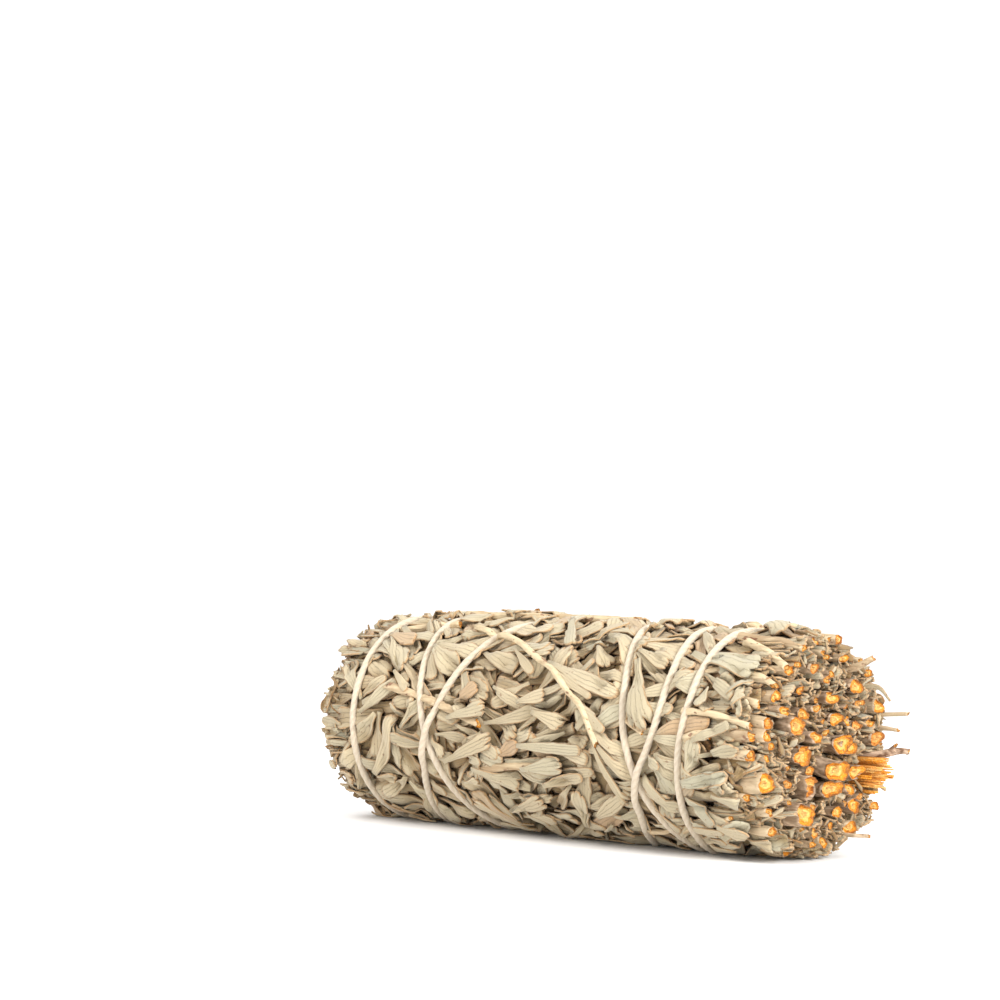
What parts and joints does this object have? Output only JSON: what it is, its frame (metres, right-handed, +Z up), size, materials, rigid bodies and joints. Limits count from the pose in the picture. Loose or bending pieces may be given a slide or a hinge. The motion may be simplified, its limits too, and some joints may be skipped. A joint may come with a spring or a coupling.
{
  "type": "dried sage bundle",
  "caption": "Bundle of dried grey-green sagebrush sprigs with cut ends, lying on its side, bound with a knotted cotton string.",
  "frame": {"origin": "centre of the bounding box, on the surface that the bundle lies on", "axes": "+X along the bundle towards the cut end that faces the viewer, -Y its front, +Z up"},
  "size_m": [0.128, 0.0507, 0.0454],
  "materials": {
    "sage_leaf": "matt, felted with fine hairs",
    "stem": "dry bark, with bare cut ends",
    "cotton_string": "undyed twisted cotton"
  },
  "bodies": {
    "root": {"stem_centre": "stem", "leaves_centre": "sage_leaf", "stem_middle_01": "stem", "leaves_middle_01": "sage_leaf", "stem_middle_02": "stem", "leaves_middle_02": "sage_leaf", "stem_middle_03": "stem", "leaves_middle_03": "sage_leaf", "stem_middle_04": "stem", "leaves_middle_04": "sage_leaf", "stem_middle_05": "stem", "leaves_middle_05": "sage_leaf", "stem_middle_06": "stem", "leaves_middle_06": "sage_leaf", "stem_outer_01": "stem", "leaves_outer_01": "sage_leaf", "stem_outer_02": "stem", "leaves_outer_02": "sage_leaf", "stem_outer_03": "stem", "leaves_outer_03": "sage_leaf", "stem_outer_04": "stem", "leaves_outer_04": "sage_leaf", "stem_outer_05": "stem", "leaves_outer_05": "sage_leaf", "stem_outer_06": "stem", "leaves_outer_06": "sage_leaf", "stem_outer_07": "stem", "leaves_outer_07": "sage_leaf", "stem_outer_08": "stem", "leaves_outer_08": "sage_leaf", "stem_outer_09": "stem", "leaves_outer_09": "sage_leaf", "stem_outer_10": "stem", "leaves_outer_10": "sage_leaf", "stem_outer_11": "stem", "leaves_outer_11": "sage_leaf", "stem_outer_12": "stem", "leaves_outer_12": "sage_leaf", "sprig_laid_1": "sage_leaf", "sprig_laid_2": "sage_leaf", "sprig_laid_3": "sage_leaf", "string": "cotton_string"}
  },
  "joints": []
}
